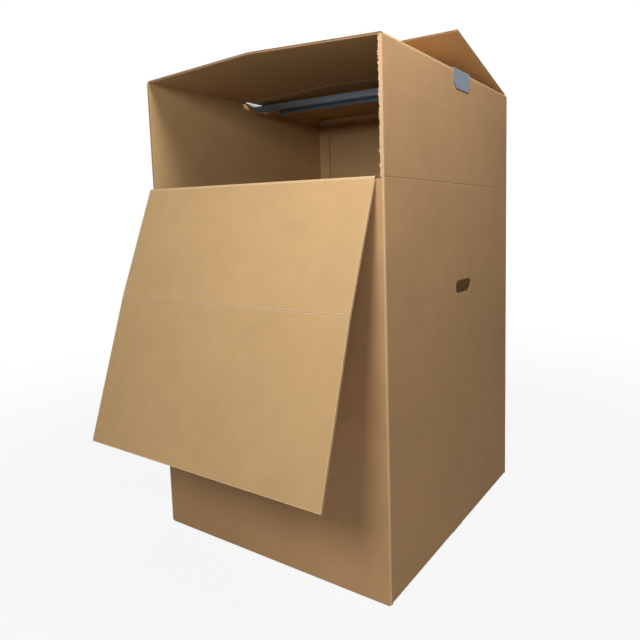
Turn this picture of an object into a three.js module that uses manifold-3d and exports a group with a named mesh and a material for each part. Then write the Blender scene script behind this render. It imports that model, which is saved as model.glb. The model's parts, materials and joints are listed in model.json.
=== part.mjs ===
// Wardrobe moving box: a tall corrugated carton with a drop-down front door and a steel hanger bar.
// Millimetres, +Z up, origin on the floor under the middle of the base. The door faces -Y.

import * as THREE from 'three';
import { mergeVertices } from 'three/addons/utils/BufferGeometryUtils.js';
import Module from 'manifold-3d';

// Carton: outside width and depth, height of its folded walls, and the board it is folded from
const WIDTH = 610;
const DEPTH = 610;
const WALL_HEIGHT = 1016;
const BOARD = 4;

// Gap that is kept between faces that touch on the real box
const TOUCH = 0.3;

// Closing tape along the bottom seam
const TAPE_THICKNESS = 0.3;
const TAPE_WIDTH = 48;
const TAPE_END_GAP = 5;

// Flaps: half of the slot between neighbours, and the seam left between two that meet
const FLAP_INSET = 6;
const SEAM = 1;

// Door: height of the opening it leaves, strip cut away at its right edge, angle it hangs open at
const OPENING_HEIGHT = 239;
const DOOR_RELIEF = 15;
const DOOR_OPEN_DEG = 160;

// Top flaps on the front and back: their length, and how far they stand off the door and the top
const FRONT_FLAP_LENGTH = 305;
const FRONT_FLAP_BACK_DEG = 3;
const BACK_FLAP_LENGTH = 305;
const BACK_FLAP_LIFT_DEG = 15.7;

// Side flaps spring up at the middle seam: the front halves are higher than the rear ones
const FRONT_HALF_LIFT = 14;
const REAR_HALF_LIFT = 10;
const REAR_HALF_STEPS = 6;

// Glue tab of the left wall, inside the back wall
const GLUE_TAB_WIDTH = 37;
const GLUE_TAB_END_GAP = 8;

// Hand hole in each side wall: length, height, and place of its middle
const HAND_HOLE_LENGTH = 82;
const HAND_HOLE_HEIGHT = 29;
const HAND_HOLE_Z = 557;
const HAND_HOLE_Y = 24;

// Hanger bar, bent from one sheet: the strap at each end hooks over a side wall
const STEEL = 1.2;
const BAR_Y = 19;
const STRAP_WIDTH = 82;
const HOOK_DROP = 40;
const HOOK_CHAMFER = 11;
const WEB_WIDTH = 32;
const WEB_DROP = 10;
const STRAP_SLOPE = 16;
const FRONT_FLANGE_HEIGHT = 15;
const REAR_FLANGE_HEIGHT = 20;
const REAR_FLANGE_END_GAP = 76;
const BEAD_RADIUS = 1.6;

// Slot in each side flap that the strap goes down through
const STRAP_SLOT_GAP = 1.5;
const STRAP_SLOT_REACH = 20;

// Places that follow from the sizes above
const X = WIDTH / 2;
const Y = DEPTH / 2;
const BASE = TAPE_THICKNESS + TOUCH;
const TOP = BASE + WALL_HEIGHT;
const DOOR_Z = TOP - OPENING_HEIGHT;
const INNER_LAYER = BASE + BOARD + TOUCH;
const SLIT_Y = BAR_Y - STRAP_WIDTH / 2 - STRAP_SLOT_GAP;
const CREASE_GAP = TOUCH + BOARD * Math.tan(THREE.MathUtils.degToRad(FRONT_FLAP_BACK_DEG));

// How far cutting solids reach past what they cut, and how close two points count as one
const BEYOND = 2 * BOARD;
const SAME_POINT = 1e-3;

const wasm = await Module();
wasm.setup();

// A closed geometry as a manifold solid
function solid(geometry) {
  const bare = geometry.clone();
  bare.deleteAttribute('normal');
  bare.deleteAttribute('uv');
  const merged = mergeVertices(bare, 1e-4);
  return new wasm.Manifold(new wasm.Mesh({
    numProp: 3,
    vertProperties: new Float32Array(merged.attributes.position.array),
    triVerts: new Uint32Array(merged.index.array),
  }));
}

// A manifold solid as a geometry
function geometryOf(manifold) {
  const mesh = manifold.getMesh();
  const geometry = new THREE.BufferGeometry();
  geometry.setAttribute('position', new THREE.BufferAttribute(new Float32Array(mesh.vertProperties), 3));
  geometry.setIndex(new THREE.BufferAttribute(new Uint32Array(mesh.triVerts), 1));
  geometry.computeVertexNormals();
  return geometry;
}

// A box between two corners
function block([x0, y0, z0], [x1, y1, z1]) {
  const geometry = new THREE.BoxGeometry(x1 - x0, y1 - y0, z1 - z0);
  return geometry.translate((x0 + x1) / 2, (y0 + y1) / 2, (z0 + z1) / 2);
}

// A closed outline from its corner points
function outline(points) {
  return new THREE.Shape(points.map(([u, v]) => new THREE.Vector2(u, v)));
}

// A rectangle with round corners, each an arc of a quarter turn
function roundedRectangle(u0, v0, u1, v1, radius, steps = 6) {
  const centres = [
    [u1 - radius, v0 + radius],
    [u1 - radius, v1 - radius],
    [u0 + radius, v1 - radius],
    [u0 + radius, v0 + radius],
  ];
  const points = [];
  centres.forEach(([u, v], corner) => {
    for (let step = 0; step <= steps; step += 1) {
      const angle = (corner - 1 + step / steps) * Math.PI / 2;
      const point = [u + radius * Math.cos(angle), v + radius * Math.sin(angle)];
      const last = points.at(-1);
      if (!last || Math.hypot(point[0] - last[0], point[1] - last[1]) > SAME_POINT) {
        points.push(point);
      }
    }
  });
  return points;
}

// An outline in X and Y, raised between two heights
function raised(shape, z0, z1) {
  const geometry = new THREE.ExtrudeGeometry(shape, { depth: z1 - z0, bevelEnabled: false });
  return geometry.translate(0, 0, z0);
}

// An outline in X and Z, run along Y
function runAlongY(shape, y0, y1) {
  return raised(shape, 0, y1 - y0).rotateX(Math.PI / 2).translate(0, y1, 0);
}

// An outline in Y and Z, run along X
function runAlongX(shape, x0, x1) {
  return raised(shape, x0, x1).applyMatrix4(
    new THREE.Matrix4().set(0, 0, 1, 0, 1, 0, 0, 0, 0, 1, 0, 0, 0, 0, 0, 1),
  );
}

// Four walls folded round into a tube, with round corners at the scores
function wallTube() {
  const outside = raised(outline(roundedRectangle(-X, -Y, X, Y, BOARD)), BASE, TOP);
  const inside = block(
    [-X + BOARD, -Y + BOARD, BASE - BEYOND],
    [X - BOARD, Y - BOARD, TOP + BEYOND],
  );
  return solid(outside).subtract(solid(inside));
}

// The front wall stops at the door's hinge line, and the side walls start one layer higher
function wallCuts() {
  const doorway = block(
    [-X - BEYOND, -Y - BEYOND, DOOR_Z],
    [X - BOARD, -Y + BOARD + TOUCH, TOP + BEYOND],
  );
  const sideStarts = [-1, 1].map((side) => {
    const inner = side * (X - BOARD);
    const outer = side * (X + BEYOND);
    return block(
      [Math.min(inner, outer), -Y + BOARD, BASE - BEYOND],
      [Math.max(inner, outer), Y - BOARD, INNER_LAYER],
    );
  });
  const half = HAND_HOLE_HEIGHT / 2;
  const handHole = outline(roundedRectangle(
    HAND_HOLE_Y - HAND_HOLE_LENGTH / 2,
    BASE + HAND_HOLE_Z - half,
    HAND_HOLE_Y + HAND_HOLE_LENGTH / 2,
    BASE + HAND_HOLE_Z + half,
    half,
  ));
  return [doorway, ...sideStarts, runAlongX(handHole, -X - BEYOND, X + BEYOND)];
}

// The glue tab folds off the left wall and lies on the inside of the back wall
function glueTab() {
  return block(
    [-X + BOARD / 2, Y - 2 * BOARD, INNER_LAYER + BOARD + GLUE_TAB_END_GAP],
    [-X + BOARD + GLUE_TAB_WIDTH, Y - BOARD / 2, TOP - GLUE_TAB_END_GAP],
  );
}

// Bottom flaps: the front and back ones lie outside, the left and right ones on top of them
function bottomFlaps() {
  const outerX = X - FLAP_INSET;
  const innerY = Y - FLAP_INSET;
  const outerTop = BASE + BOARD;
  const innerTop = INNER_LAYER + BOARD;
  return [
    block([-outerX, -Y + BOARD / 2, BASE], [outerX, -SEAM / 2, outerTop]),
    block([-outerX, SEAM / 2, BASE], [outerX, Y - BOARD / 2, outerTop]),
    block([-X + BOARD / 2, -innerY, INNER_LAYER], [-SEAM / 2, innerY, innerTop]),
    block([SEAM / 2, -innerY, INNER_LAYER], [X - BOARD / 2, innerY, innerTop]),
  ];
}

// Half of a side flap: its free edge springs up by a lift that falls to rearShare of it at the rear
function sideFlapHalf(side, y0, y1, lift, rearShare, steps) {
  const length = X - SEAM / 2;
  const geometry = new THREE.BoxGeometry(length, y1 - y0, BOARD, steps, steps, 1);
  geometry.translate(side * (X - length / 2), (y0 + y1) / 2, TOP - BOARD / 2);
  const position = geometry.attributes.position;
  for (let i = 0; i < position.count; i += 1) {
    const alongFlap = (X - Math.abs(position.getX(i))) / length;
    const alongEdge = (position.getY(i) - y0) / (y1 - y0);
    const share = 1 - (1 - rearShare) * alongEdge;
    position.setZ(i, position.getZ(i) + lift * alongFlap * share);
  }
  return geometry;
}

// A side flap: a slit from the strap slot to the free edge parts its front half from its rear half
function sideFlap(side) {
  const lower = side > 0 ? BOARD + TOUCH : 0;
  const ends = Y - FLAP_INSET;
  const front = sideFlapHalf(side, -ends, SLIT_Y - SEAM / 2, FRONT_HALF_LIFT - lower, 1, 1);
  const rear = sideFlapHalf(side, SLIT_Y + SEAM / 2, ends, REAR_HALF_LIFT - lower, 0, REAR_HALF_STEPS);
  const slotEdges = [side * (X - BOARD), side * (X - BOARD - STRAP_SLOT_REACH)];
  const slot = block(
    [Math.min(...slotEdges), SLIT_Y - SEAM / 2, TOP - BEYOND],
    [Math.max(...slotEdges), BAR_Y + STRAP_WIDTH / 2 + STRAP_SLOT_GAP, TOP + BEYOND],
  );
  return [front, rear].map((half) => solid(half).subtract(solid(slot)));
}

// Everything folded from the one sheet of board that doesn't swing
function cartonBody() {
  let body = wallTube();
  for (const cut of wallCuts()) {
    body = body.subtract(solid(cut));
  }
  for (const piece of [glueTab(), ...bottomFlaps()]) {
    body = body.add(solid(piece));
  }
  for (const half of [...sideFlap(-1), ...sideFlap(1)]) {
    body = body.add(half);
  }
  return geometryOf(body);
}

// The bent strip: outside hook, over the wall, down to the web, and the same at the other end
function barStrip() {
  const web = TOP - WEB_DROP;
  const outer = [
    [X + TOUCH + STEEL, TOP + TOUCH + STEEL - HOOK_DROP],
    [X + TOUCH + STEEL, TOP + TOUCH + STEEL],
    [X - BOARD + STEEL, TOP + TOUCH + STEEL],
    [X - BOARD - STRAP_SLOPE + STEEL, web],
  ];
  const inner = [
    [X - BOARD - STRAP_SLOPE, web - STEEL],
    [X - BOARD, TOP + TOUCH],
    [X + TOUCH, TOP + TOUCH],
    [X + TOUCH, TOP + TOUCH + STEEL - HOOK_DROP],
  ];
  const mirrored = (points) => points.map(([x, z]) => [-x, z]).reverse();
  const strip = outline([...outer, ...mirrored(outer), ...mirrored(inner), ...inner]);
  return runAlongY(strip, BAR_Y - STRAP_WIDTH / 2, BAR_Y + STRAP_WIDTH / 2);
}

// What is cut off the strip: a round-cornered bite along each side, and the hooks' lower corners
function barCuts() {
  const bite = (STRAP_WIDTH - WEB_WIDTH) / 2;
  const inside = X - BOARD - STEEL;
  const cuts = [-1, 1].map((side) => {
    const edge = BAR_Y + side * WEB_WIDTH / 2;
    const away = BAR_Y + side * (STRAP_WIDTH / 2 + 2 * bite);
    const shape = roundedRectangle(-inside, Math.min(edge, away), inside, Math.max(edge, away), bite);
    return raised(outline(shape), TOP - HOOK_DROP, TOP + HOOK_DROP);
  });
  for (const side of [-1, 1]) {
    const corner = BAR_Y + side * STRAP_WIDTH / 2;
    const bottom = TOP + TOUCH + STEEL - HOOK_DROP;
    const chamfer = outline([
      [corner + side * STEEL, bottom - STEEL],
      [corner + side * STEEL, bottom + HOOK_CHAMFER],
      [corner, bottom + HOOK_CHAMFER],
      [corner - side * HOOK_CHAMFER, bottom],
      [corner - side * HOOK_CHAMFER, bottom - STEEL],
    ]);
    cuts.push(runAlongX(chamfer, -X - BEYOND, X + BEYOND));
  }
  return cuts;
}

// A stiffening flange under one edge of the web, with a rolled bead along its lower edge
function barFlange(edgeY, inward, height, halfLength) {
  const web = TOP - WEB_DROP;
  const y0 = Math.min(edgeY, edgeY + inward * STEEL);
  const plate = block([-halfLength, y0, web - height], [halfLength, y0 + STEEL, web - STEEL / 2]);
  const bead = new THREE.CylinderGeometry(BEAD_RADIUS, BEAD_RADIUS, 2 * halfLength, 12);
  bead.rotateZ(Math.PI / 2).translate(0, y0 + STEEL / 2, web - height);
  return solid(plate).add(solid(bead));
}

// The hanger bar: one bent and flanged strip of sheet steel
function hangerBar() {
  const webEnd = X - BOARD - STRAP_SLOPE;
  const frontEdge = BAR_Y - WEB_WIDTH / 2;
  const rearEdge = BAR_Y + WEB_WIDTH / 2;
  const rearEnd = X - BOARD - REAR_FLANGE_END_GAP;
  let bar = solid(barStrip());
  for (const cut of barCuts()) {
    bar = bar.subtract(solid(cut));
  }
  bar = bar.add(barFlange(frontEdge, 1, FRONT_FLANGE_HEIGHT, webEnd));
  bar = bar.add(barFlange(rearEdge, -1, REAR_FLANGE_HEIGHT, rearEnd));
  return geometryOf(bar);
}

function material(color, roughness, metalness) {
  return new THREE.MeshStandardMaterial({ color, roughness, metalness });
}

function part(name, geometry, finish) {
  const mesh = new THREE.Mesh(geometry, finish);
  mesh.name = name;
  return mesh;
}

const kraftOutside = material('#b58f63', 0.85, 0);
const kraftInside = material('#d2ac79', 0.85, 0);
const steel = material('#9aa3a3', 0.4, 0.9);
const tapeFilm = material('#b98a4a', 0.3, 0);

const box = new THREE.Group();
box.add(part('carton_body', cartonBody(), kraftOutside));
box.add(part('hanger_bar', hangerBar(), steel));
box.add(part(
  'bottom_tape',
  block(
    [-X + TAPE_END_GAP, -TAPE_WIDTH / 2, 0],
    [X - TAPE_END_GAP, TAPE_WIDTH / 2, TAPE_THICKNESS],
  ),
  tapeFilm,
));

// Door: shut it stands up from its hinge on the front wall's outer face, open it turns forward and down
const door = new THREE.Group();
door.position.set(0, -Y - TOUCH, DOOR_Z);
door.rotation.x = THREE.MathUtils.degToRad(DOOR_OPEN_DEG);
door.add(part(
  'door_panel',
  block([-X, 0, TOUCH], [X - DOOR_RELIEF, BOARD, OPENING_HEIGHT - CREASE_GAP / 2]),
  kraftInside,
));
box.add(door);

// The front top flap hangs on at a crease on the door's inner face, bent back a little from the door
const frontFlap = new THREE.Group();
frontFlap.position.set(0, BOARD, OPENING_HEIGHT);
frontFlap.rotation.x = THREE.MathUtils.degToRad(FRONT_FLAP_BACK_DEG);
frontFlap.add(part(
  'front_top_flap',
  block([-X, -BOARD, CREASE_GAP / 2], [X - DOOR_RELIEF, 0, FRONT_FLAP_LENGTH]),
  kraftInside,
));
door.add(frontFlap);

// The back top flap is hinged over the back wall's outer face, and stands up from the side flaps
const backFlap = new THREE.Group();
backFlap.position.set(0, Y + TOUCH, TOP + TOUCH + BOARD);
backFlap.rotation.x = -THREE.MathUtils.degToRad(BACK_FLAP_LIFT_DEG);
backFlap.add(part(
  'back_top_flap',
  block([-X + FLAP_INSET, -BACK_FLAP_LENGTH, -BOARD], [X - FLAP_INSET, -TOUCH, 0]),
  kraftOutside,
));
box.add(backFlap);

export default box;
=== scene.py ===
# Wardrobe moving box: the paper layers of its folded board, its hanger bar, and the studio around it.
# Metres, +Z up, origin on the floor under the middle of the base. The door faces -Y.

import json
import math
import random

import bmesh
import bpy
from mathutils import Matrix, Vector
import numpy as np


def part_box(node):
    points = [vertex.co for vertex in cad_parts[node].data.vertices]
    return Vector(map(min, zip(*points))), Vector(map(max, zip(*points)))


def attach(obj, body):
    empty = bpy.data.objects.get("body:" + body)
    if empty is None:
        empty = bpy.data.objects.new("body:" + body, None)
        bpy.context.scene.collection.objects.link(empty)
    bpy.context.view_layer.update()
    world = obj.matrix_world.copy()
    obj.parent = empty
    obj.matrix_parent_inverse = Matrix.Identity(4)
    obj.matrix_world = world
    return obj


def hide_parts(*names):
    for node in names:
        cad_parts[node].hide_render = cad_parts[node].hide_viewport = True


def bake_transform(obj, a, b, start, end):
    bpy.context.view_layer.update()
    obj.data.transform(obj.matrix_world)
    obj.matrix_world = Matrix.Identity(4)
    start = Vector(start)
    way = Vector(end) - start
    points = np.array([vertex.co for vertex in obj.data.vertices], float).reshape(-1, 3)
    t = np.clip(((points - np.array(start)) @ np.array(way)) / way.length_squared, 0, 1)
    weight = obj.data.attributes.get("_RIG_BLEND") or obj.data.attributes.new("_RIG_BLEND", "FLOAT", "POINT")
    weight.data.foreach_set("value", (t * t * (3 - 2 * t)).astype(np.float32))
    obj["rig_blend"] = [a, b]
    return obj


bl_info = {
    "name": "Wardrobe Moving Box",
    "version": (1, 0, 0),
    "blender": (4, 5, 0),
    "location": "3D View > Sidebar > Moving Box",
    "description": "Folds a wardrobe carton out of corrugated board and hangs its steel bar",
    "category": "Object",
}

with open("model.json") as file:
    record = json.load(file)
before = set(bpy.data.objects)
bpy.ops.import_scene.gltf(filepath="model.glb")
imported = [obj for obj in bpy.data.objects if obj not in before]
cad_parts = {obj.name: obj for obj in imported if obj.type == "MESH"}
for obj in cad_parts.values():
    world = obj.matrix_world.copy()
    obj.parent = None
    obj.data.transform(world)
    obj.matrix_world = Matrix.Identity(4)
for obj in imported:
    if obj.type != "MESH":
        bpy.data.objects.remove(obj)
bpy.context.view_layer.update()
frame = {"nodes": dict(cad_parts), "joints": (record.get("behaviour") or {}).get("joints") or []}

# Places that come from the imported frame
JOINTS = {joint["name"]: joint for joint in frame["joints"]}
CARTON_LOW, CARTON_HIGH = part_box("carton_body")
HALF = CARTON_HIGH.x
BASE = CARTON_LOW.z
DOOR_HINGE = Vector(JOINTS["door_hinge"]["pos_m"])
FLAP_CREASE = Vector(JOINTS["front_flap_crease"]["pos_m"])
BACK_HINGE = Vector(JOINTS["back_flap_hinge"]["pos_m"])

# Sizes shared with the CAD source
BOARD = 0.004
TOUCH = 0.0003
TOP = BACK_HINGE.z - BOARD - TOUCH
DOOR_Z = DOOR_HINGE.z
INNER_LAYER = BASE + BOARD + TOUCH
FLAP_INSET = 0.006
FLAP_END = HALF - FLAP_INSET
SEAM = 0.001
OPENING_HEIGHT = 0.239
DOOR_RELIEF = 0.015
DOOR_END = HALF - DOOR_RELIEF
FLAP_LENGTH = 0.305
FRONT_LIFT = CARTON_HIGH.z - TOP
REAR_LIFT = 0.010
SLIT_Y = -0.0235
SLOT_BACK_Y = 0.0615
SLOT_REACH = 0.024
GLUE_TAB_END = -0.264
GLUE_TAB_GAP = 0.008
HAND_HOLE_Y = 0.024
HAND_HOLE_RISE = 0.557
HAND_HOLE_Z = BASE + HAND_HOLE_RISE
HAND_HOLE_LENGTH = 0.082
HAND_HOLE_HEIGHT = 0.029

# Sizes that only the layers of paper have
PAPER_GAP = 0.0001
SCORE_RISE = 0.0024
SCORE_REACH = 0.0012
MEDIUM_BITE = 0.00004
EDGE_INSET = 0.0003
FOLD_INSET = 0.0005
MEDIUM_INSET = 0.002
HOLE_MARGIN = 0.008
HOLE_INSET = 0.0004

# How finely the sheets are divided: steps where they are flat, and lines beside a fold or an edge
WALL_STEP = 0.06
PANEL_STEP = 0.05
SIDE_FLAP_STEP = 0.04
BESIDE_FOLD = 0.002
BESIDE_LINE = (0.0012, 0.0034)
FOLD_STEPS = 6
HINGE_STEPS = 16
FLUTE_STEPS = 8
HOLE_COLUMNS = 14
HOLE_ROWS = 6
MEDIUM_HOLE_ROWS = 7
SHARP_ANGLE = math.radians(35)
FLAT_ANGLE = math.radians(0.5)
FAR_SHARE = 0.9

# The least share of a step between two stations, and distances that count as none
SPARE = 0.25
SAME_PLACE = 1e-5
TINY = 1e-9

# How strongly a fold turns pale, where a cut edge is 1: partly wear, partly a painted highlight on the
# rounded fold. A top fold creases along two lines, at these shares of its bend
SCORE_WEAR_AND_HIGHLIGHT = 0.35
BOTTOM_FOLD_WEAR_AND_HIGHLIGHT = 0.7
TOP_FOLD_WEAR_AND_HIGHLIGHT = 0.8
TOP_FOLD_LINES = (0.2, 0.9)
HINGE_WEAR_AND_HIGHLIGHT = 0.8

# Where each piece lies on the paper's pattern, so that no two of them show the same patch
PATTERN_SHIFT = {
    "bottom_flaps": 3.0,
    "left_top_flap": 7.0,
    "right_top_flap": 8.0,
    "door_board": 10.0,
    "front_flap_board": 11.0,
    "door_hinge_fold": 12.0,
    "door_flap_crease": 13.0,
    "back_flap_board": 14.0,
    "back_hinge_fold": 15.0,
    "torn_liner_edge": 21.0,
}

# The liner torn along the doorway's right edge
TORN_SEED = 11
TORN_STEP = 0.0024
TORN_FOOT = 0.002
TORN_HEAD = 0.007
TORN_INSET = 0.0044
TORN_ROOT = 0.001
TORN_BITE = (0.0004, 0.0022)
DEEP_BITE = 0.002
SHALLOW_SHARE = 0.88
TORN_CURL = 0.0009
TORN_THICKNESS = 0.0003

# Sizes of the marks in the materials
CLOUD_SIZE = 0.055
DRIFT_SIZE = 0.26
FIBRE_SIZE = 0.0022
FRAY_SIZE = 0.006
SPANGLE_SIZE = 0.009
ROLL_LINE_SIZE = 0.0015
STRETCH_LINE_SIZE = 0.003

# The studio: the floor turns from a matt paper near the box into plain white far from it
FLOOR_REACH = 30.0
WHITE_FROM = 0.6
WHITE_TO = 2.4
WHITE_SHARE = 0.9
SENSOR_WIDTH = 36.0

# Each soft lamp's name, place, target and size, and the setting that holds its power
LAMPS = (
    ("front_softbox", (0.38, -1.38, 1.15), (0.1, -0.35, 0.65), 0.4, "front_power"),
    ("top_softbox", (0.72, -0.45, 1.78), (0.3, -0.18, 0.8), 0.4, "top_power"),
    ("left_softbox", (-1.0, -1.8, 1.4), (0.0, -0.35, 0.6), 0.8, "left_power"),
    ("low_softbox", (1.1, -1.5, 0.12), (0.2, -0.3, 0.1), 0.4, "low_power"),
    ("back_softbox", (-1.6, 2.2, 2.0), (-0.1, 0.1, 0.6), 1.2, "back_power"),
)

# Material slots of every piece of board
OUTSIDE = 0
INSIDE = 1
CORE = 2


def linear(hex_colour):
    """An sRGB hex colour as linear red, green and blue."""
    values = [int(hex_colour[i:i + 2], 16) / 255 for i in (1, 3, 5)]
    return tuple(v / 12.92 if v <= 0.04045 else ((v + 0.055) / 1.055) ** 2.4 for v in values)


class BoardSettings(bpy.types.PropertyGroup):
    """Sizes and colours of the corrugated board."""

    liner: bpy.props.FloatProperty(
        name="Liner", description="Thickness of each outer sheet of paper", default=0.00045, unit="LENGTH")
    medium: bpy.props.FloatProperty(
        name="Medium", description="Thickness of the fluted sheet", default=0.0003, unit="LENGTH")
    flute_pitch: bpy.props.FloatProperty(
        name="Flute pitch", description="Distance between two flutes", default=0.0078, unit="LENGTH")
    fold_radius: bpy.props.FloatProperty(
        name="Fold radius", description="Outer radius of a folded score", default=0.0044, unit="LENGTH")
    score_depth: bpy.props.FloatProperty(
        name="Score depth", description="How deep a score is pressed in", default=0.0005, unit="LENGTH")
    # How far the pale band of wear and painted highlight reaches from an edge or a fold
    wear_and_highlight_reach: bpy.props.FloatProperty(
        name="Wear", description="How far wear reaches from an edge", default=0.003, unit="LENGTH")
    outside_colour: bpy.props.FloatVectorProperty(
        name="Outside", description="Outer liner", default=linear("#C89E70"), subtype="COLOR")
    inside_colour: bpy.props.FloatVectorProperty(
        name="Inside", description="Inner liner", default=linear("#C4A070"), subtype="COLOR")
    core_colour: bpy.props.FloatVectorProperty(
        name="Cut edge", description="Medium and cut edges", default=linear("#C4A074"), subtype="COLOR")
    # Pale torn fibres; this colour also paints the band of wear and painted highlight along edges and folds
    torn_and_highlight_colour: bpy.props.FloatVectorProperty(
        name="Torn paper", description="Fibres of a torn liner", default=linear("#E2C8A2"), subtype="COLOR")


class FittingSettings(bpy.types.PropertyGroup):
    """Sizes and colours of the bar and the tape."""

    edge_radius: bpy.props.FloatProperty(
        name="Edge radius", description="Roundness of the steel's edges", default=0.0003, unit="LENGTH")
    steel_colour: bpy.props.FloatVectorProperty(
        name="Steel", description="Galvanised steel", default=linear("#7C8893"), subtype="COLOR")
    tape_colour: bpy.props.FloatVectorProperty(
        name="Tape", description="Buff packing tape", default=linear("#B98A4A"), subtype="COLOR")


class StageSettings(bpy.types.PropertyGroup):
    """Camera, lamps and floor."""

    camera_place: bpy.props.FloatVectorProperty(
        name="Camera", description="Place of the lens", default=(0.80423, -1.10810, 0.71258), subtype="XYZ")
    azimuth: bpy.props.FloatProperty(
        name="Azimuth", description="Turn of the view about Z", default=0.534449, subtype="ANGLE")
    elevation: bpy.props.FloatProperty(
        name="Elevation", description="Downward tilt of the view", default=0.106463, subtype="ANGLE")
    roll: bpy.props.FloatProperty(
        name="Roll", description="Turn about the line of sight", default=-0.0164187, subtype="ANGLE")
    lens: bpy.props.FloatProperty(
        name="Lens", description="Focal length in mm on a 36 mm sensor", default=31.259, min=1.0)
    shift: bpy.props.FloatVectorProperty(
        name="Shift", description="Shift of the frame", default=(-0.12083, -0.06888), size=2)
    front_power: bpy.props.FloatProperty(
        name="Front", description="Power of the soft lamp before the door in W", default=9.4, min=0.0)
    top_power: bpy.props.FloatProperty(
        name="Top", description="Power of the lamp over the right front corner in W", default=14.4, min=0.0)
    left_power: bpy.props.FloatProperty(
        name="Left", description="Power of the lamp at the front left in W", default=3.6, min=0.0)
    low_power: bpy.props.FloatProperty(
        name="Low", description="Power of the lamp near the floor in W", default=1.8, min=0.0)
    back_power: bpy.props.FloatProperty(
        name="Back", description="Power of the lamp behind the box in W", default=30.0, min=0.0)
    sky_strength: bpy.props.FloatProperty(
        name="Sky", description="Strength of the light from all round", default=0.015, min=0.0)
    floor_colour: bpy.props.FloatVectorProperty(
        name="Floor", description="Pale floor", default=linear("#B4B1AC"), subtype="COLOR")


def board():
    """The board's settings."""
    return bpy.context.scene.wardrobe_board


# Materials

def add_node(tree, kind, settings=None, sockets=None):
    """Adds a node, gives its properties, and fills or links its sockets."""
    made = tree.nodes.new(kind)
    for name, value in (settings or {}).items():
        setattr(made, name, value)
    for name, value in (sockets or {}).items():
        if isinstance(value, bpy.types.NodeSocket):
            tree.links.new(value, made.inputs[name])
        else:
            made.inputs[name].default_value = value
    return made


def empty_material(name):
    """A material with only its output node."""
    made = bpy.data.materials.new(name)
    made.use_nodes = True
    made.node_tree.nodes.clear()
    output = made.node_tree.nodes.new("ShaderNodeOutputMaterial")
    return made, made.node_tree, output


def noise(tree, place, size, detail, roughness):
    """Noise whose patches are about a size across."""
    return add_node(
        tree, "ShaderNodeTexNoise", None,
        {"Vector": place, "Scale": 1 / size, "Detail": detail, "Roughness": roughness}).outputs["Fac"]


def tinted(colour, factor):
    """A linear colour made lighter or darker, as a socket value."""
    return (*(min(1.0, value * factor) for value in colour), 1.0)


def kraft_paper(name, colour, worn_and_highlight_colour, mottle, washboard, wear):
    """Paper on the sheet's own coordinates: u across the flutes, v along them, in metres."""
    made, tree, output = empty_material(name)
    pitch = board().flute_pitch
    place = add_node(tree, "ShaderNodeAttribute", {"attribute_name": "sheet"}).outputs["Vector"]
    clouds = noise(tree, place, CLOUD_SIZE, 4.0, 0.55)
    drift = noise(tree, place, DRIFT_SIZE, 2.0, 0.5)
    stretched = add_node(
        tree, "ShaderNodeMapping", None, {"Vector": place, "Scale": (0.35, 1.0, 1.0)}).outputs["Vector"]
    fibres = noise(tree, stretched, FIBRE_SIZE, 3.0, 0.65)
    across = add_node(tree, "ShaderNodeSeparateXYZ", None, {0: place}).outputs["X"]
    turns = add_node(
        tree, "ShaderNodeMath", {"operation": "MULTIPLY"}, {0: across, 1: 2 * math.pi / pitch}).outputs[0]
    ridges = add_node(tree, "ShaderNodeMath", {"operation": "SINE"}, {0: turns}).outputs[0]
    blotch = add_node(tree, "ShaderNodeMath", {"operation": "ADD"}, {0: clouds, 1: drift}).outputs[0]
    blotch = add_node(
        tree, "ShaderNodeMapRange", None,
        {"Value": blotch, "From Min": 0.7, "From Max": 1.3}).outputs["Result"]
    base = add_node(
        tree, "ShaderNodeMix", {"data_type": "RGBA"},
        {0: blotch, 6: tinted(colour, 1 - mottle), 7: tinted(colour, 1 + mottle)}).outputs[2]
    speck = add_node(
        tree, "ShaderNodeMapRange", None,
        {"Value": fibres, "From Min": 0.3, "From Max": 0.7, "To Min": 0.97, "To Max": 1.03}
    ).outputs["Result"]
    stripe = add_node(
        tree, "ShaderNodeMath", {"operation": "MULTIPLY_ADD"}, {0: ridges, 1: washboard, 2: 1.0}).outputs[0]
    shade = add_node(tree, "ShaderNodeMath", {"operation": "MULTIPLY"}, {0: speck, 1: stripe}).outputs[0]
    base = add_node(
        tree, "ShaderNodeVectorMath", {"operation": "SCALE"}, {0: base, "Scale": shade}).outputs[0]
    # The pale band along edges and folds: partly real wear, partly a painted highlight where rounded folds
    # and cut edges catch the light
    wear_and_highlight_mark = add_node(tree, "ShaderNodeAttribute", {"attribute_name": "wear"}).outputs["Fac"]
    ragged = noise(tree, place, FRAY_SIZE, 3.0, 0.7)
    wear_and_highlight_mark = add_node(tree, "ShaderNodeMath", {"operation": "MULTIPLY"}, {0: wear_and_highlight_mark, 1: ragged}).outputs[0]
    wear_and_highlight_mark = add_node(
        tree, "ShaderNodeMapRange", None,
        {"Value": wear_and_highlight_mark, "From Min": 0.1, "From Max": 0.5, "To Max": wear}).outputs["Result"]
    base = add_node(
        tree, "ShaderNodeMix", {"data_type": "RGBA"},
        {0: wear_and_highlight_mark, 6: base, 7: (*worn_and_highlight_colour, 1.0)}).outputs[2]
    height = add_node(
        tree, "ShaderNodeMath", {"operation": "MULTIPLY_ADD"}, {0: ridges, 1: 0.5, 2: fibres}).outputs[0]
    relief = add_node(
        tree, "ShaderNodeBump", None,
        {"Height": height, "Strength": 0.18, "Distance": 0.0002}).outputs["Normal"]
    rough = add_node(
        tree, "ShaderNodeMapRange", None,
        {"Value": clouds, "From Min": 0.3, "From Max": 0.7, "To Min": 0.72, "To Max": 0.86}
    ).outputs["Result"]
    paper = add_node(
        tree, "ShaderNodeBsdfPrincipled", None,
        {"Base Color": base, "Roughness": rough, "Normal": relief, "Specular IOR Level": 0.35, "IOR": 1.5})
    tree.links.new(paper.outputs[0], output.inputs["Surface"])
    return made


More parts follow.
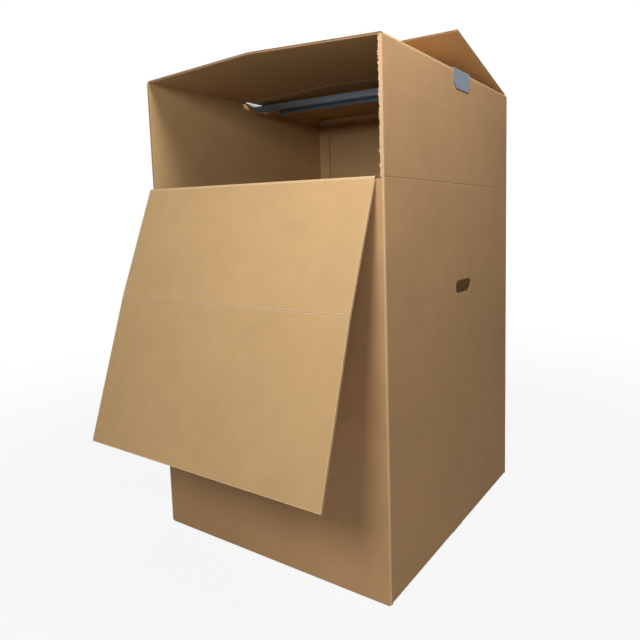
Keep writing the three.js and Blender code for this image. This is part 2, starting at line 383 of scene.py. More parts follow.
def board_materials():
    """The three papers of the board, made once: outside, inside and cut edge."""
    wanted = ("kraft_outer_liner", "kraft_inner_liner", "fluting_cut_edge")
    if wanted[0] in bpy.data.materials:
        return [bpy.data.materials[name] for name in wanted]
    sizes = board()
    # The torn colour also paints the pale band of wear and painted highlight along edges and folds; the last
    # number of each paper sets how strongly it shows
    torn_and_highlight = tuple(sizes.torn_and_highlight_colour)
    # Unbleached kraft linerboard, pressed on the wire side: warm brown, mottled, with faint flute lines
    outer = kraft_paper(wanted[0], tuple(sizes.outside_colour), torn_and_highlight, 0.075, 0.012, 0.6)
    # The same linerboard on the inside, less handled: paler and yellower
    inner = kraft_paper(wanted[1], tuple(sizes.inside_colour), torn_and_highlight, 0.06, 0.008, 0.5)
    # Recycled fluting sheared by the die: a duller, fuzzier paper with no flute lines of its own
    core = kraft_paper(wanted[2], tuple(sizes.core_colour), torn_and_highlight, 0.1, 0.0, 0.4)
    return [outer, inner, core]


def galvanised_steel():
    """Hot-dip galvanised strip, rolled then pressed: cool grey, satin, with a faint zinc spangle."""
    made, tree, output = empty_material("galvanised_strip")
    colour = tuple(bpy.context.scene.wardrobe_fittings.steel_colour)
    place = add_node(tree, "ShaderNodeTexCoord").outputs["Object"]
    spangle = add_node(
        tree, "ShaderNodeTexVoronoi", None, {"Vector": place, "Scale": 1 / SPANGLE_SIZE}).outputs["Color"]
    grain = add_node(tree, "ShaderNodeSeparateColor", None, {0: spangle}).outputs[0]
    along = add_node(
        tree, "ShaderNodeMapping", None, {"Vector": place, "Scale": (0.05, 1.0, 1.0)}).outputs["Vector"]
    lines = noise(tree, along, ROLL_LINE_SIZE, 3.0, 0.6)
    base = add_node(
        tree, "ShaderNodeMix", {"data_type": "RGBA"},
        {0: grain, 6: tinted(colour, 0.86), 7: tinted(colour, 1.06)}).outputs[2]
    mixed = add_node(
        tree, "ShaderNodeMath", {"operation": "MULTIPLY_ADD"}, {0: grain, 1: 0.3, 2: lines}).outputs[0]
    rough = add_node(
        tree, "ShaderNodeMapRange", None,
        {"Value": mixed, "From Min": 0.3, "From Max": 1.0, "To Min": 0.42, "To Max": 0.6}).outputs["Result"]
    relief = add_node(
        tree, "ShaderNodeBump", None,
        {"Height": lines, "Strength": 0.2, "Distance": 0.0001}).outputs["Normal"]
    metal = add_node(
        tree, "ShaderNodeBsdfPrincipled", None,
        {"Base Color": base, "Metallic": 1.0, "Roughness": rough, "Normal": relief})
    tree.links.new(metal.outputs[0], output.inputs["Surface"])
    return made


def packing_tape():
    """Buff polypropylene film on adhesive, rolled on by hand: glossy, with long faint stretch lines."""
    made, tree, output = empty_material("packing_tape_film")
    colour = tuple(bpy.context.scene.wardrobe_fittings.tape_colour)
    place = add_node(tree, "ShaderNodeTexCoord").outputs["Object"]
    along = add_node(
        tree, "ShaderNodeMapping", None, {"Vector": place, "Scale": (0.08, 1.0, 1.0)}).outputs["Vector"]
    lines = noise(tree, along, STRETCH_LINE_SIZE, 3.0, 0.6)
    base = add_node(
        tree, "ShaderNodeMix", {"data_type": "RGBA"},
        {0: lines, 6: tinted(colour, 0.93), 7: tinted(colour, 1.07)}).outputs[2]
    rough = add_node(
        tree, "ShaderNodeMapRange", None, {"Value": lines, "To Min": 0.18, "To Max": 0.34}).outputs["Result"]
    relief = add_node(
        tree, "ShaderNodeBump", None,
        {"Height": lines, "Strength": 0.15, "Distance": 0.0001}).outputs["Normal"]
    film = add_node(
        tree, "ShaderNodeBsdfPrincipled", None,
        {"Base Color": base, "Roughness": rough, "Normal": relief, "IOR": 1.49})
    tree.links.new(film.outputs[0], output.inputs["Surface"])
    return made


# Sheets of board

def stations(low, high, step, lines=(), near=BESIDE_LINE):
    """Places from low to high about a step apart, with every line and its near neighbours among them."""
    count = max(1, math.ceil((high - low) / step))
    wanted = {round(low + (high - low) * i / count, 6) for i in range(count + 1)}
    fixed = {round(low, 6), round(high, 6)}
    for line in lines:
        for offset in (0.0, *near, *(-value for value in near)):
            if low < line + offset < high:
                fixed.add(round(line + offset, 6))
    kept = sorted(fixed)
    for value in sorted(wanted - fixed):
        if min(abs(value - other) for other in kept) > step * SPARE:
            kept.append(value)
    return sorted(kept)


def replaced(values, middle, half, count):
    """The values, with those within half of the middle replaced by evenly spaced ones."""
    outside = {value for value in values if abs(value - middle) >= half - SAME_PLACE}
    return outside | {round(middle - half + 2 * half * i / count, 6) for i in range(count + 1)}


def close_to(value, lines, reach):
    """1 on a line, falling to 0 at its reach."""
    return max(0.0, 1.0 - min(abs(value - line) for line in lines) / reach)


def new_sheet():
    """An empty mesh whose points carry their place on the sheet and their mark of wear and painted
    highlight.
    """
    mesh = bmesh.new()
    mesh.verts.layers.float_vector.new("sheet")
    mesh.verts.layers.float.new("wear")
    return mesh


def stadium_point(place, hole):
    """Where the line from a hole's middle through a place meets the hole's rounded outline."""
    middle_u, middle_v, length, height = hole
    radius = height / 2
    straight = length / 2 - radius
    away = Vector((place[0] - middle_u, place[1] - middle_v))
    scale = radius / max(abs(away.y), TINY)
    if abs(away.x * scale) > straight:
        away.normalize()
        along = abs(away.x) * straight
        scale = along + math.sqrt(max(0.0, along * along + radius * radius - straight * straight))
    return middle_u + away.x * scale, middle_v + away.y * scale


def cut_hole(mesh, faces, hole):
    """Draws the rim of a square gap in a flat sheet in to the hole's rounded outline."""
    middle_u, middle_v, length, height = hole
    rim = []
    for edge in mesh.edges:
        middle = (edge.verts[0].co + edge.verts[1].co) / 2
        inside_u = abs(middle.x - middle_u) < length / 2 + HOLE_MARGIN + SAME_PLACE
        inside_v = abs(middle.y - middle_v) < height / 2 + HOLE_MARGIN + SAME_PLACE
        if edge.is_boundary and inside_u and inside_v:
            rim.append(edge)
    made = bmesh.ops.extrude_edge_only(mesh, edges=rim)["geom"]
    sheet = mesh.verts.layers.float_vector["sheet"]
    for vert in (item for item in made if isinstance(item, bmesh.types.BMVert)):
        u, v = stadium_point(vert.co, hole)
        vert.co = (u, v, 0)
        vert[sheet] = (u, v, 0)
    return faces + [item for item in made if isinstance(item, bmesh.types.BMFace)]


def add_paper(target, us, vs, place, depths, slot, keep=None, holes=(), wear=None, shift=0.0):
    """Adds one layer of paper as a closed skin. depths(u) gives how deep its two faces lie."""
    mesh = new_sheet()
    sheet = mesh.verts.layers.float_vector["sheet"]
    wear_and_highlight_mark = mesh.verts.layers.float["wear"]
    columns = len(us) - 1
    rows = len(vs) - 1
    grid = bmesh.ops.create_grid(mesh, x_segments=columns, y_segments=rows, size=1.0)["verts"]
    for vert in grid:
        u = us[round((vert.co.x + 1) / 2 * columns)]
        v = vs[round((vert.co.y + 1) / 2 * rows)]
        vert.co = (u, v, 0)
        vert[sheet] = (u, v, 0)
    if keep:
        gone = [face for face in mesh.faces if not keep(*face.calc_center_median().xy)]
        bmesh.ops.delete(mesh, geom=gone, context="FACES")
    faces = list(mesh.faces)
    for hole in holes:
        faces = cut_hole(mesh, faces, hole)
    first = list(mesh.verts)
    copied = bmesh.ops.extrude_face_region(mesh, geom=faces)["geom"]
    second = [item for item in copied if isinstance(item, bmesh.types.BMVert)]
    for verts, face in ((first, 0), (second, 1)):
        for vert in verts:
            u, v, _ = vert[sheet]
            depth = depths(u)[face]
            vert.co = place(u, v, depth)
            vert[sheet] = (u + shift, v, depth)
            # Each point's mark of wear and painted highlight
            vert[wear_and_highlight_mark] = wear(u, v) if wear else 0.0
            vert.tag = face == 1
    for face in mesh.faces:
        mixed = len({vert.tag for vert in face.verts}) > 1
        face.material_index = CORE if mixed else slot
        face.smooth = True
    bmesh.ops.recalc_face_normals(mesh, faces=list(mesh.faces))
    carrier = bpy.data.meshes.new("layer")
    mesh.to_mesh(carrier)
    mesh.free()
    target.from_mesh(carrier)
    bpy.data.meshes.remove(carrier)


def liner_depths(slot):
    """How deep the two faces of the outer or the inner liner lie."""
    liner = board().liner
    return (lambda u: (0.0, liner)) if slot == OUTSIDE else (lambda u: (BOARD - liner, BOARD))


def medium_depths():
    """How deep the two faces of the fluted medium lie, as a wave across the flutes."""
    sizes = board()
    swing = BOARD / 2 - sizes.liner - sizes.medium / 2 + MEDIUM_BITE
    half = sizes.medium / 2

    def depths(u):
        middle = BOARD / 2 + swing * math.cos(2 * math.pi * u / sizes.flute_pitch)
        return middle - half, middle + half

    return depths


def flute_stations(low, high):
    """Several stations for each flute, a little inside the cut edges."""
    return stations(low + EDGE_INSET, high - EDGE_INSET, board().flute_pitch / FLUTE_STEPS)


def add_board(target, us, vs, place, wear, shift, medium_spans, keep=None):
    """Adds the two liners of a sheet, and the fluted medium between them over each span."""
    for slot in (OUTSIDE, INSIDE):
        add_paper(target, us, vs, place, liner_depths(slot), slot, keep, wear=wear, shift=shift)
    for u0, u1, rows in medium_spans:
        add_paper(target, flute_stations(u0, u1), rows, place, medium_depths(), CORE, shift=shift)


def make_piece(name, mesh, materials):
    """A finished mesh as an object at the origin, sharp where its faces turn."""
    data = bpy.data.meshes.new(name)
    mesh.to_mesh(data)
    mesh.free()
    for material in materials:
        data.materials.append(material)
    data.set_sharp_from_angle(angle=SHARP_ANGLE)
    piece = bpy.data.objects.new(name, data)
    bpy.context.scene.collection.objects.link(piece)
    return piece


def fold_path(corners, radius):
    """The outer face of a sheet folded through corners, in plan: its length, the middle of each score,
    and a function that gives the point and the outward direction at a distance along it."""
    parts = []
    scores = []
    length = 0.0
    start = Vector(corners[0])
    for i in range(1, len(corners)):
        corner = Vector(corners[i])
        heading = (corner - Vector(corners[i - 1])).normalized()
        last = i == len(corners) - 1
        end = corner if last else corner - heading * radius
        parts.append(("line", length, start, heading))
        length += (end - start).length
        if not last:
            inward = Vector((-heading.y, heading.x))
            parts.append(("arc", length, end + inward * radius, heading))
            scores.append(length + radius * math.pi / 4)
            length += radius * math.pi / 2
            start = corner + inward * radius

    def point_at(u):
        part = next(item for item in reversed(parts) if item[1] <= u + TINY or item is parts[0])
        kind, begin, origin, heading = part
        outward = Vector((heading.y, -heading.x))
        if kind == "line":
            return origin + heading * (u - begin), outward
        turn = (u - begin) / radius
        direction = outward * math.cos(turn) + heading * math.sin(turn)
        return origin + direction * radius, direction

    return length, scores, point_at


def build_walls():
    """Glue tab and four walls, folded round from one sheet, with the doorway and the hand holes cut."""
    radius = board().fold_radius
    corners = [
        (GLUE_TAB_END, HALF - BOARD - PAPER_GAP),
        (-HALF, HALF - BOARD - PAPER_GAP),
        (-HALF, -HALF),
        (HALF, -HALF),
        (HALF, HALF),
        (-HALF + TOUCH, HALF),
    ]
    length, scores, point_at = fold_path(corners, radius)
    arc = radius * math.pi / 4
    fold = 2 * arc
    side_top = TOP - radius
    side_foot = INNER_LAYER + radius
    front_foot = BASE + radius
    lip = DOOR_Z - PAPER_GAP
    # From and to along the sheet, foot and top, and how far the medium stops short of either end:
    # glue tab, left wall, front wall, right wall, back wall
    spans = [
        (0.0, scores[0] - arc, side_foot + GLUE_TAB_GAP, TOP - GLUE_TAB_GAP, 0.0, MEDIUM_INSET),
        (scores[0] - arc, scores[1] + arc, side_foot, side_top, fold, fold),
        (scores[1] + arc, scores[2] - arc, front_foot, lip, MEDIUM_INSET, MEDIUM_INSET),
        (scores[2] - arc, scores[3] + arc, side_foot, side_top, fold, MEDIUM_INSET),
        (scores[3] + arc, length, front_foot, TOP, MEDIUM_INSET, 0.0),
    ]
    opening_left = scores[1] - arc
    opening_right = scores[2] - arc
    corner_reach = arc + HALF - radius - FLAP_END

    def keep(u, v):
        # The corners reach down between the bottom folds, to the level of the inner flaps
        if any(abs(u - score) < corner_reach for score in scores[1:]) and v < side_foot:
            return v > INNER_LAYER
        for low, high, foot, top, *_ in spans:
            if low <= u <= high:
                return foot < v < top and not (v > lip and opening_left < u < opening_right)
        return False

    def along_left(y):
        return scores[0] + arc + HALF - BOARD - PAPER_GAP - radius - y

    def along_right(y):
        return scores[2] + arc + HALF - radius + y

    holes = [
        (along_left(HAND_HOLE_Y), HAND_HOLE_Z, HAND_HOLE_LENGTH, HAND_HOLE_HEIGHT),
        (along_right(HAND_HOLE_Y), HAND_HOLE_Z, HAND_HOLE_LENGTH, HAND_HOLE_HEIGHT),
    ]
    half_long = HAND_HOLE_LENGTH / 2 + HOLE_MARGIN
    half_high = HAND_HOLE_HEIGHT / 2 + HOLE_MARGIN
    score_z = DOOR_Z + SCORE_RISE

    def keep_liner(u, v):
        for middle_u, middle_v, _, _ in holes:
            if abs(u - middle_u) < half_long and abs(v - middle_v) < half_high:
                return False
        return keep(u, v)

    def keep_medium(u, v):
        for middle_u, middle_v, long, high in holes:
            straight = long / 2 - high / 2
            away = math.hypot(max(0.0, abs(u - middle_u) - straight), v - middle_v)
            if away < high / 2 + HOLE_INSET:
                return False
        return keep(u, v)

    def place(u, v, depth):
        point, outward = point_at(min(max(u, 0.0), length))
        pressed = board().score_depth * close_to(v, [score_z], SCORE_REACH)
        inset = depth + pressed * (1 - depth / BOARD)
        return Vector((point.x - outward.x * inset, point.y - outward.y * inset, v))

    # Pale along the corner folds, the score at the door's hinge height and the top rims of the side walls:
    # partly wear, partly a painted highlight where the rounded folds catch the light
    def wear(u, v):
        reach = board().wear_and_highlight_reach
        folds = close_to(u, scores, reach)
        score = SCORE_WEAR_AND_HIGHLIGHT * close_to(v, [score_z], reach)
        rims = close_to(v, [side_top], reach) if keep(u, side_top - FOLD_INSET) else 0.0
        return max(folds, score, rims)

    gap_lines = [middle_u + side * half_long for middle_u, *_ in holes for side in (-1, 1)]
    feet = [INNER_LAYER, side_foot, front_foot, side_foot + GLUE_TAB_GAP]
    heads = [lip, TOP - GLUE_TAB_GAP, side_top]
    us = set(stations(0.0, length, WALL_STEP, [opening_left, opening_right, *gap_lines]))
    for score in scores:
        us |= {round(score - arc + fold * i / FOLD_STEPS, 6) for i in range(FOLD_STEPS + 1)}
        us |= {round(score + side * corner_reach, 6) for side in (-1, 1)}
        us |= {round(score + side * (arc + BESIDE_FOLD), 6) for side in (-1, 1)}
    for middle_u, *_ in holes:
        us = replaced(us, middle_u, half_long, HOLE_COLUMNS)
    vs = set(stations(BASE, TOP, WALL_STEP, [score_z, *heads], near=(SCORE_REACH, 2 * SCORE_REACH)))
    vs |= {round(value, 6) for value in feet}
    vs = replaced(vs, HAND_HOLE_Z, half_high, HOLE_ROWS)
    mesh = new_sheet()
    for slot in (OUTSIDE, INSIDE):
        add_paper(
            mesh, sorted(us), sorted(vs), place, liner_depths(slot), slot, keep_liner, holes, wear)
    by_hole = HAND_HOLE_HEIGHT / 2 + MEDIUM_INSET
    bands = sorted({
        *(round(value, 6) for value in (*feet, lip, *heads, TOP)),
        *(round(HAND_HOLE_Z + side * half_high, 6) for side in (-1, 1)),
        *(round(HAND_HOLE_Z + by_hole * i / MEDIUM_HOLE_ROWS, 6)
          for i in range(-MEDIUM_HOLE_ROWS, MEDIUM_HOLE_ROWS + 1)),
    })
    for low, high, foot, top, short_low, short_high in spans:
        rows = [v for v in bands if foot <= v <= top]
        across = flute_stations(low + short_low, high - short_high)
        add_paper(mesh, across, rows, place, medium_depths(), CORE, keep_medium)
    return make_piece("carton_walls", mesh, board_materials())


def flap_place(outward, level, up, lift=None):
    """Board that leaves a wall through a fold at a level, turning in over the top or in under the base."""
    radius = board().fold_radius
    arc = radius * math.pi / 2
    along = Vector((outward.y, outward.x, 0)).normalized()
    along = Vector((abs(along.x), abs(along.y), 0))
    middle = HALF - radius

    def place(u, v, depth):
        if v < arc:
            turn = v / radius
            reach = middle + (radius - depth) * math.cos(turn)
            height = level - up * radius + up * (radius - depth) * math.sin(turn)
        else:
            reach = middle - (v - arc)
            height = level - up * depth
        raised = lift(u, HALF - reach) if lift and v > arc else 0.0
        return outward * reach + along * u + Vector((0, 0, height + raised))

    return place, arc, middle + arc - SEAM / 2


def fold_stations(arc):
    """Places round a fold, and one just past it that keeps the flat board's shading."""
    return {arc * i / FOLD_STEPS for i in range(FOLD_STEPS + 1)} | {arc + BESIDE_FOLD}


def build_bottom():
    """The four bottom flaps: the front and back ones lie outside, the other two on top of them."""
    mesh = new_sheet()
    sides = [
        (Vector((0, -1, 0)), BASE),
        (Vector((0, 1, 0)), BASE),
        (Vector((-1, 0, 0)), INNER_LAYER),
        (Vector((1, 0, 0)), INNER_LAYER),
    ]
    for number, (outward, level) in enumerate(sides):
        place, arc, length = flap_place(outward, level, -1)
        us = stations(-FLAP_END, FLAP_END, WALL_STEP, [-FLAP_END, FLAP_END])
        flat = set(stations(arc, length, WALL_STEP, [length]))
        vs = sorted(fold_stations(arc) | flat)

        # Pale along the cut edges and the fold: partly wear, partly a painted highlight
        def wear(u, v, length=length, arc=arc):
            reach = board().wear_and_highlight_reach
            return max(
                close_to(u, [-FLAP_END, FLAP_END], reach),
                close_to(v, [length], reach),
                BOTTOM_FOLD_WEAR_AND_HIGHLIGHT * close_to(v, [arc / 2], reach))

        rows = [arc + FOLD_INSET, length - EDGE_INSET]
        shift = PATTERN_SHIFT["bottom_flaps"] + number
        add_board(mesh, us, vs, place, wear, shift, [(-FLAP_END, FLAP_END, rows)])
    return make_piece("bottom_flaps", mesh, board_materials())


def build_side_flap(name, side):
    """A side flap, slit from the bar's slot to its free edge, so that its halves spring up apart."""
    reach_all = HALF - SEAM / 2

    def lift(u, inward):
        share = inward / reach_all
        if u < SLIT_Y:
            return FRONT_LIFT * share
        fall = (FLAP_END - u) / (FLAP_END - SLIT_Y)
        return REAR_LIFT * share * fall

    place, arc, length = flap_place(Vector((side, 0, 0)), TOP, 1, lift)
    slit = (SLIT_Y - SEAM / 2, SLIT_Y + SEAM / 2)
    slot_end = arc + SLOT_REACH - board().fold_radius

    def keep(u, v):
        in_slot = slit[0] < u < SLOT_BACK_Y and arc < v < slot_end
        return not in_slot and not (slit[0] < u < slit[1] and v > arc)

    # Pale along the cut edges and the two crease lines of the top fold: partly wear, partly a painted
    # highlight on the rounded fold
    def wear(u, v):
        reach = board().wear_and_highlight_reach
        edges = max(close_to(u, [-FLAP_END, FLAP_END], reach), close_to(v, [length], reach))
        creases = [arc * share for share in TOP_FOLD_LINES]
        fold = TOP_FOLD_WEAR_AND_HIGHLIGHT * close_to(v, creases, reach / 2)
        return max(edges, fold)

    us = sorted(
        set(stations(-FLAP_END, FLAP_END, SIDE_FLAP_STEP, [-FLAP_END, FLAP_END, SLOT_BACK_Y]))
        | {slit[0], slit[1], slit[0] - BESIDE_FOLD, slit[1] + BESIDE_FOLD})
    flat = set(stations(arc, length, PANEL_STEP, [length]))
    vs = sorted(fold_stations(arc) | flat | {slot_end})
    mesh = new_sheet()
    rows = [arc + FOLD_INSET, slot_end, length - EDGE_INSET]
    medium_spans = [
        (-FLAP_END, slit[0], rows),
        (slit[1], SLOT_BACK_Y, rows[1:]),
        (SLOT_BACK_Y, FLAP_END, rows),
    ]
    add_board(mesh, us, vs, place, wear, PATTERN_SHIFT[name], medium_spans, keep)
    return make_piece(name, mesh, board_materials())


def rest_turn(node, pivot, local):
    """How far a panel is turned about X at rest: its far end's direction against the unturned one's."""
    corners = {tuple(round(value, 5) for value in vert.co) for vert in frame["nodes"][node].data.vertices}
    reach = max(math.hypot(y - pivot.y, z - pivot.z) for _, y, z in corners)
    far = [(y, z) for _, y, z in corners if math.hypot(y - pivot.y, z - pivot.z) > reach * FAR_SHARE]
    y = sum(item[0] for item in far) / len(far) - pivot.y
    z = sum(item[1] for item in far) / len(far) - pivot.z
    return math.atan2(z, y) - math.atan2(local[1], local[0])


def panel_place(pivot, turn, local):
    """A flat panel's place: local(v, depth) is in the panel's own frame, turned about X at the pivot."""
    cosine = math.cos(turn)
    sine = math.sin(turn)

    def place(u, v, depth):
        y, z = local(v, depth)
        return Vector((u, pivot.y + y * cosine - z * sine, pivot.z + y * sine + z * cosine))

    return place


def build_panel(name, place, u0, u1, v0, v1):
    """A flat swinging panel with flutes along v, pale along its four edges from wear and a painted
    highlight.
    """
    us = stations(u0, u1, PANEL_STEP, [u0, u1])
    vs = stations(v0, v1, PANEL_STEP, [v0, v1])

    def wear(u, v):
        reach = board().wear_and_highlight_reach
        return max(close_to(u, [u0, u1], reach), close_to(v, [v0, v1], reach))

    mesh = new_sheet()
    rows = [v0 + EDGE_INSET, v1 - EDGE_INSET]
    add_board(mesh, us, vs, place, wear, PATTERN_SHIFT[name], [(u0, u1, rows)])
    return make_piece(name, mesh, board_materials())


def build_fold(name, pivot, start, end, u0, u1, slot):
    """The strip of liner that bridges a hinge line, curved round the pivot from a start to an end."""
    first = Vector((start.y - pivot.y, start.z - pivot.z))
    last = Vector((end.y - pivot.y, end.z - pivot.z))
    angle0 = math.atan2(first.y, first.x)
    angle1 = math.atan2(last.y, last.x)
    slack = 0.2
    if angle1 < angle0 - slack:
        angle1 += 2 * math.pi

    def place(u, v, depth):
        angle = angle0 + (angle1 - angle0) * v
        radius = first.length + (last.length - first.length) * v - depth
        return Vector((u, pivot.y + radius * math.cos(angle), pivot.z + radius * math.sin(angle)))

    liner = board().liner
    us = stations(u0, u1, PANEL_STEP)
    vs = [i / HINGE_STEPS for i in range(HINGE_STEPS + 1)]
    mesh = new_sheet()
    # The whole strip is paled: partly wear, partly a painted highlight on the rounded hinge
    add_paper(
        mesh, us, vs, place, lambda u: (0.0, liner), slot, wear=lambda u, v: HINGE_WEAR_AND_HIGHLIGHT,
        shift=PATTERN_SHIFT[name])
    return make_piece(name, mesh, board_materials())


def build_torn_edge():
    """The ragged lip of liner left where the door was torn off the right corner."""
    draw = random.Random(TORN_SEED)
    zs = stations(DOOR_Z + TORN_FOOT, TOP - TORN_HEAD, TORN_STEP)
    bites = [draw.uniform(*TORN_BITE) + (DEEP_BITE if draw.random() > SHALLOW_SHARE else 0.0) for _ in zs]
    curls = [draw.uniform(0.0, TORN_CURL) for _ in zs]
    edge = HALF - TORN_INSET
    us = [0.0, 0.5, 1.0]

    def place(u, v, depth):
        row = min(range(len(zs)), key=lambda i: abs(zs[i] - v))
        x = edge + TORN_ROOT - (TORN_ROOT + bites[row]) * u
        y = -HALF - PAPER_GAP - curls[row] * u * u + depth
        return Vector((x, y, v))

    mesh = new_sheet()
    add_paper(
        mesh, us, zs, place, lambda u: (0.0, TORN_THICKNESS), OUTSIDE, wear=lambda u, v: 1.0,
        shift=PATTERN_SHIFT["torn_liner_edge"])
    return make_piece("torn_liner_edge", mesh, board_materials())


def build_bar():
    """The hanger bar's own solid, merged from the frame's triangles and eased along its edges."""
    mesh = bmesh.new()
    mesh.from_mesh(frame["nodes"]["hanger_bar"].data)
    bmesh.ops.remove_doubles(mesh, verts=list(mesh.verts), dist=SAME_PLACE)
    bmesh.ops.dissolve_limit(
        mesh, angle_limit=FLAT_ANGLE, verts=list(mesh.verts), edges=list(mesh.edges))
    for face in mesh.faces:
        face.smooth = True
    piece = make_piece("formed_hanger_bar", mesh, [galvanised_steel()])
    eased = piece.modifiers.new("eased_edges", "BEVEL")
    eased.width = bpy.context.scene.wardrobe_fittings.edge_radius
    eased.segments = 2
    eased.limit_method = "ANGLE"
    eased.angle_limit = SHARP_ANGLE
    return piece


# Operators

class WARDROBE_OT_walls(bpy.types.Operator):
    """Fold the glue tab and the four walls"""

    bl_idname = "wardrobe.walls"
    bl_label = "Walls"

    def execute(self, context):
        walls = build_walls()
        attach(walls, "carton")
        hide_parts("carton_body")
        return {"FINISHED"}


class WARDROBE_OT_bottom(bpy.types.Operator):
    """Fold the bottom flaps and give the closing tape its film"""

    bl_idname = "wardrobe.bottom"
    bl_label = "Bottom flaps and tape"

    def execute(self, context):
        flaps = build_bottom()
        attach(flaps, "carton")
        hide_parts("carton_body")
        tape = frame["nodes"]["bottom_tape"].data
        tape.materials.clear()
        tape.materials.append(packing_tape())
        return {"FINISHED"}


class WARDROBE_OT_side_flaps(bpy.types.Operator):
    """Fold the left and right top flaps"""

    bl_idname = "wardrobe.side_flaps"
    bl_label = "Side top flaps"

    def execute(self, context):
        for name, side in (("left_top_flap", -1), ("right_top_flap", 1)):
            flap = build_side_flap(name, side)
            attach(flap, "carton")
            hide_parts("carton_body")
        return {"FINISHED"}


class WARDROBE_OT_door(bpy.types.Operator):
    """Make the door, the front top flap and the folds between them"""

    bl_idname = "wardrobe.door"
    bl_label = "Door and front flap"

    def execute(self, context):
        door_turn = rest_turn("door_panel", DOOR_HINGE, (BOARD / 2, OPENING_HEIGHT))
        flap_turn = rest_turn("front_top_flap", FLAP_CREASE, (-BOARD / 2, FLAP_LENGTH))
        crease_gap = TOUCH + BOARD * math.tan(flap_turn - door_turn)
        on_door = panel_place(DOOR_HINGE, door_turn, lambda v, depth: (depth, v))
        on_flap = panel_place(FLAP_CREASE, flap_turn, lambda v, depth: (depth - BOARD, v))
        door_edge = OPENING_HEIGHT - crease_gap / 2

        door = build_panel("door_board", on_door, -HALF, DOOR_END, TOUCH, door_edge)
        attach(door, "door")
        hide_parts("door_panel")

        flap = build_panel("front_flap_board", on_flap, -HALF, DOOR_END, crease_gap / 2, FLAP_LENGTH)
        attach(flap, "front_flap")
        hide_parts("front_top_flap")

        wall_end = Vector((0, -HALF + BOARD, DOOR_Z - PAPER_GAP))
        door_root = on_door(0, TOUCH, BOARD)
        hinge = build_fold("door_hinge_fold", DOOR_HINGE, wall_end, door_root, -HALF, DOOR_END, INSIDE)
        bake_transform(hinge, "carton", "door", start=wall_end, end=door_root)

        door_foot = on_door(0, door_edge, 0)
        flap_root = on_flap(0, crease_gap / 2, 0)
        crease = build_fold(
            "door_flap_crease", FLAP_CREASE, flap_root, door_foot, -HALF, DOOR_END, OUTSIDE)
        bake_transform(crease, "door", "front_flap", start=door_foot, end=flap_root)
        return {"FINISHED"}


class WARDROBE_OT_back_flap(bpy.types.Operator):
    """Make the back top flap and its fold"""

    bl_idname = "wardrobe.back_flap"
    bl_label = "Back flap"

    def execute(self, context):
        turn = rest_turn("back_top_flap", BACK_HINGE, (-FLAP_LENGTH, -BOARD / 2))
        on_flap = panel_place(BACK_HINGE, turn, lambda v, depth: (-v, -depth))
        flap = build_panel("back_flap_board", on_flap, -FLAP_END, FLAP_END, TOUCH, FLAP_LENGTH)
        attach(flap, "back_flap")
        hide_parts("back_top_flap")

        wall_end = Vector((0, HALF - BOARD, TOP))
        root = on_flap(0, TOUCH, BOARD)
        hinge = build_fold("back_hinge_fold", BACK_HINGE, wall_end, root, -FLAP_END, FLAP_END, INSIDE)
        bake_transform(hinge, "carton", "back_flap", start=wall_end, end=root)
        return {"FINISHED"}


class WARDROBE_OT_bar(bpy.types.Operator):
    """Form the hanger bar"""

    bl_idname = "wardrobe.bar"
    bl_label = "Hanger bar"

    def execute(self, context):
        bar = build_bar()
        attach(bar, "carton")
        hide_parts("hanger_bar")
        return {"FINISHED"}


class WARDROBE_OT_torn_edge(bpy.types.Operator):
    """Tear the liner along the doorway's right edge"""

    bl_idname = "wardrobe.torn_edge"
    bl_label = "Torn edge"

    def execute(self, context):
        edge = build_torn_edge()
        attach(edge, "carton")
        return {"FINISHED"}


def soft_lamp(name, place, target, size, power):
    """A square soft box that faces a target."""
    data = bpy.data.lights.new(name, "AREA")
    data.size = size
    data.energy = power
    lamp = bpy.data.objects.new(name, data)
    lamp.location = place
    lamp.rotation_euler = (Vector(target) - Vector(place)).to_track_quat("-Z", "Y").to_euler()
    lamp.visible_camera = False
    bpy.context.scene.collection.objects.link(lamp)


def seen_directly(tree):
    """1 for camera, glossy and transmission rays."""
    path = add_node(tree, "ShaderNodeLightPath")
    either = add_node(
        tree, "ShaderNodeMath", {"operation": "MAXIMUM"},
        {0: path.outputs["Is Camera Ray"], 1: path.outputs["Is Glossy Ray"]}).outputs[0]
    return add_node(
        tree, "ShaderNodeMath", {"operation": "MAXIMUM"},
        {0: either, 1: path.outputs["Is Transmission Ray"]}).outputs[0]


def pale_floor(stage):
    """A flat paper floor, matt and nearly white, that keeps a soft shadow."""
    made, tree, output = empty_material("pale_floor")
    matt = add_node(tree, "ShaderNodeBsdfDiffuse", None, {"Color": (*stage.floor_colour, 1.0)}).outputs[0]
    white = add_node(tree, "ShaderNodeEmission", None, {"Color": (1, 1, 1, 1), "Strength": 1.0}).outputs[0]
    place = add_node(tree, "ShaderNodeTexCoord").outputs["Object"]
    away = add_node(tree, "ShaderNodeVectorMath", {"operation": "LENGTH"}, {0: place}).outputs["Value"]
    white_share = add_node(
        tree, "ShaderNodeMapRange", {"interpolation_type": "SMOOTHSTEP"},
        {"Value": away, "From Min": WHITE_FROM, "From Max": WHITE_TO, "To Min": WHITE_SHARE, "To Max": 1.0}
    ).outputs["Result"]
    share = add_node(
        tree, "ShaderNodeMath", {"operation": "MULTIPLY"},
        {0: seen_directly(tree), 1: white_share}).outputs[0]
    both = add_node(tree, "ShaderNodeMixShader", None, {0: share, 1: matt, 2: white}).outputs[0]
    tree.links.new(both, output.inputs["Surface"])
    return made


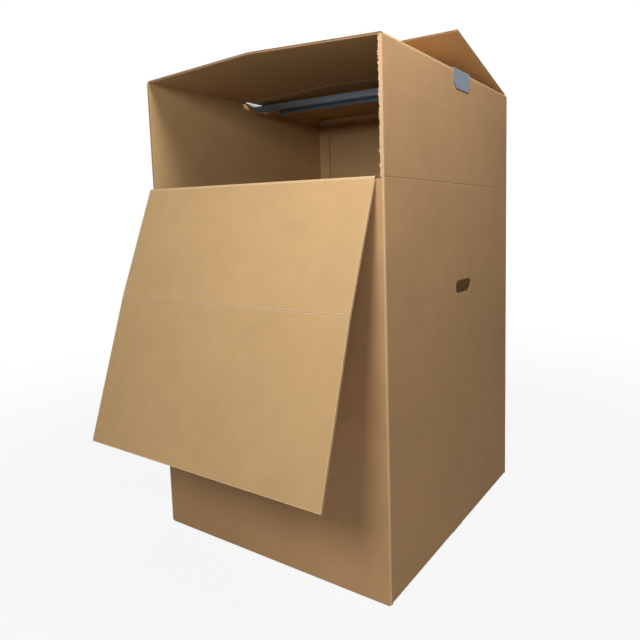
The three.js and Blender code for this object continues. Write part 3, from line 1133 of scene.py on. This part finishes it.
class WARDROBE_OT_stage(bpy.types.Operator):
    """Set up the floor, the soft lamps, the sky and the camera"""

    bl_idname = "wardrobe.stage"
    bl_label = "Stage"

    def execute(self, context):
        scene = context.scene
        stage = scene.wardrobe_stage

        mesh = bmesh.new()
        bmesh.ops.create_grid(mesh, x_segments=1, y_segments=1, size=FLOOR_REACH)
        floor = make_piece("studio_floor", mesh, [pale_floor(stage)])

        world = bpy.data.worlds.new("studio_sky")
        world.use_nodes = True
        tree = world.node_tree
        tree.nodes.clear()
        strength = add_node(
            tree, "ShaderNodeMapRange", None,
            {"Value": seen_directly(tree), "To Min": stage.sky_strength, "To Max": 1.0}).outputs["Result"]
        sky = add_node(tree, "ShaderNodeBackground", None, {"Color": (1, 1, 1, 1), "Strength": strength})
        output = add_node(tree, "ShaderNodeOutputWorld")
        tree.links.new(sky.outputs[0], output.inputs["Surface"])
        scene.world = world

        for name, place, target, size, power in LAMPS:
            soft_lamp(name, place, target, size, getattr(stage, power))

        data = bpy.data.cameras.new("photo_camera")
        data.sensor_width = SENSOR_WIDTH
        data.lens = stage.lens
        data.shift_x, data.shift_y = stage.shift
        camera = bpy.data.objects.new("photo_camera", data)
        scene.collection.objects.link(camera)
        azimuth, elevation, roll = stage.azimuth, stage.elevation, stage.roll
        forward = Vector((
            -math.sin(azimuth) * math.cos(elevation),
            math.cos(azimuth) * math.cos(elevation),
            -math.sin(elevation),
        ))
        level = Vector((math.cos(azimuth), math.sin(azimuth), 0))
        upright = level.cross(forward)
        right = math.cos(roll) * level + math.sin(roll) * upright
        above = -math.sin(roll) * level + math.cos(roll) * upright
        camera.matrix_world = Matrix.Translation(stage.camera_place) @ Matrix(
            (right, above, -forward)).transposed().to_4x4()
        scene.camera = camera
        scene.view_settings.view_transform = "Standard"
        return {"FINISHED"}


class WARDROBE_PT_panel(bpy.types.Panel):
    """Sizes, colours and the steps that make the box"""

    bl_idname = "WARDROBE_PT_panel"
    bl_label = "Wardrobe moving box"
    bl_space_type = "VIEW_3D"
    bl_region_type = "UI"
    bl_category = "Moving Box"

    def draw(self, context):
        scene = context.scene
        for settings in (scene.wardrobe_board, scene.wardrobe_fittings, scene.wardrobe_stage):
            for name in type(settings).__annotations__:
                self.layout.prop(settings, name)
        for operator in OPERATORS:
            self.layout.operator(operator.bl_idname)


OPERATORS = (
    WARDROBE_OT_walls,
    WARDROBE_OT_bottom,
    WARDROBE_OT_side_flaps,
    WARDROBE_OT_door,
    WARDROBE_OT_back_flap,
    WARDROBE_OT_bar,
    WARDROBE_OT_torn_edge,
    WARDROBE_OT_stage,
)
SETTINGS = {
    "wardrobe_board": BoardSettings,
    "wardrobe_fittings": FittingSettings,
    "wardrobe_stage": StageSettings,
}


def register():
    for made in (*SETTINGS.values(), *OPERATORS, WARDROBE_PT_panel):
        bpy.utils.register_class(made)
    for name, kind in SETTINGS.items():
        setattr(bpy.types.Scene, name, bpy.props.PointerProperty(type=kind))


def unregister():
    for name in SETTINGS:
        delattr(bpy.types.Scene, name)
    for made in reversed((*SETTINGS.values(), *OPERATORS, WARDROBE_PT_panel)):
        bpy.utils.unregister_class(made)


def main():
    register()
    bpy.ops.wardrobe.walls()
    bpy.ops.wardrobe.bottom()
    bpy.ops.wardrobe.side_flaps()
    bpy.ops.wardrobe.door()
    bpy.ops.wardrobe.back_flap()
    bpy.ops.wardrobe.bar()
    bpy.ops.wardrobe.torn_edge()
    bpy.ops.wardrobe.stage()


if __name__ == "__main__":
    main()
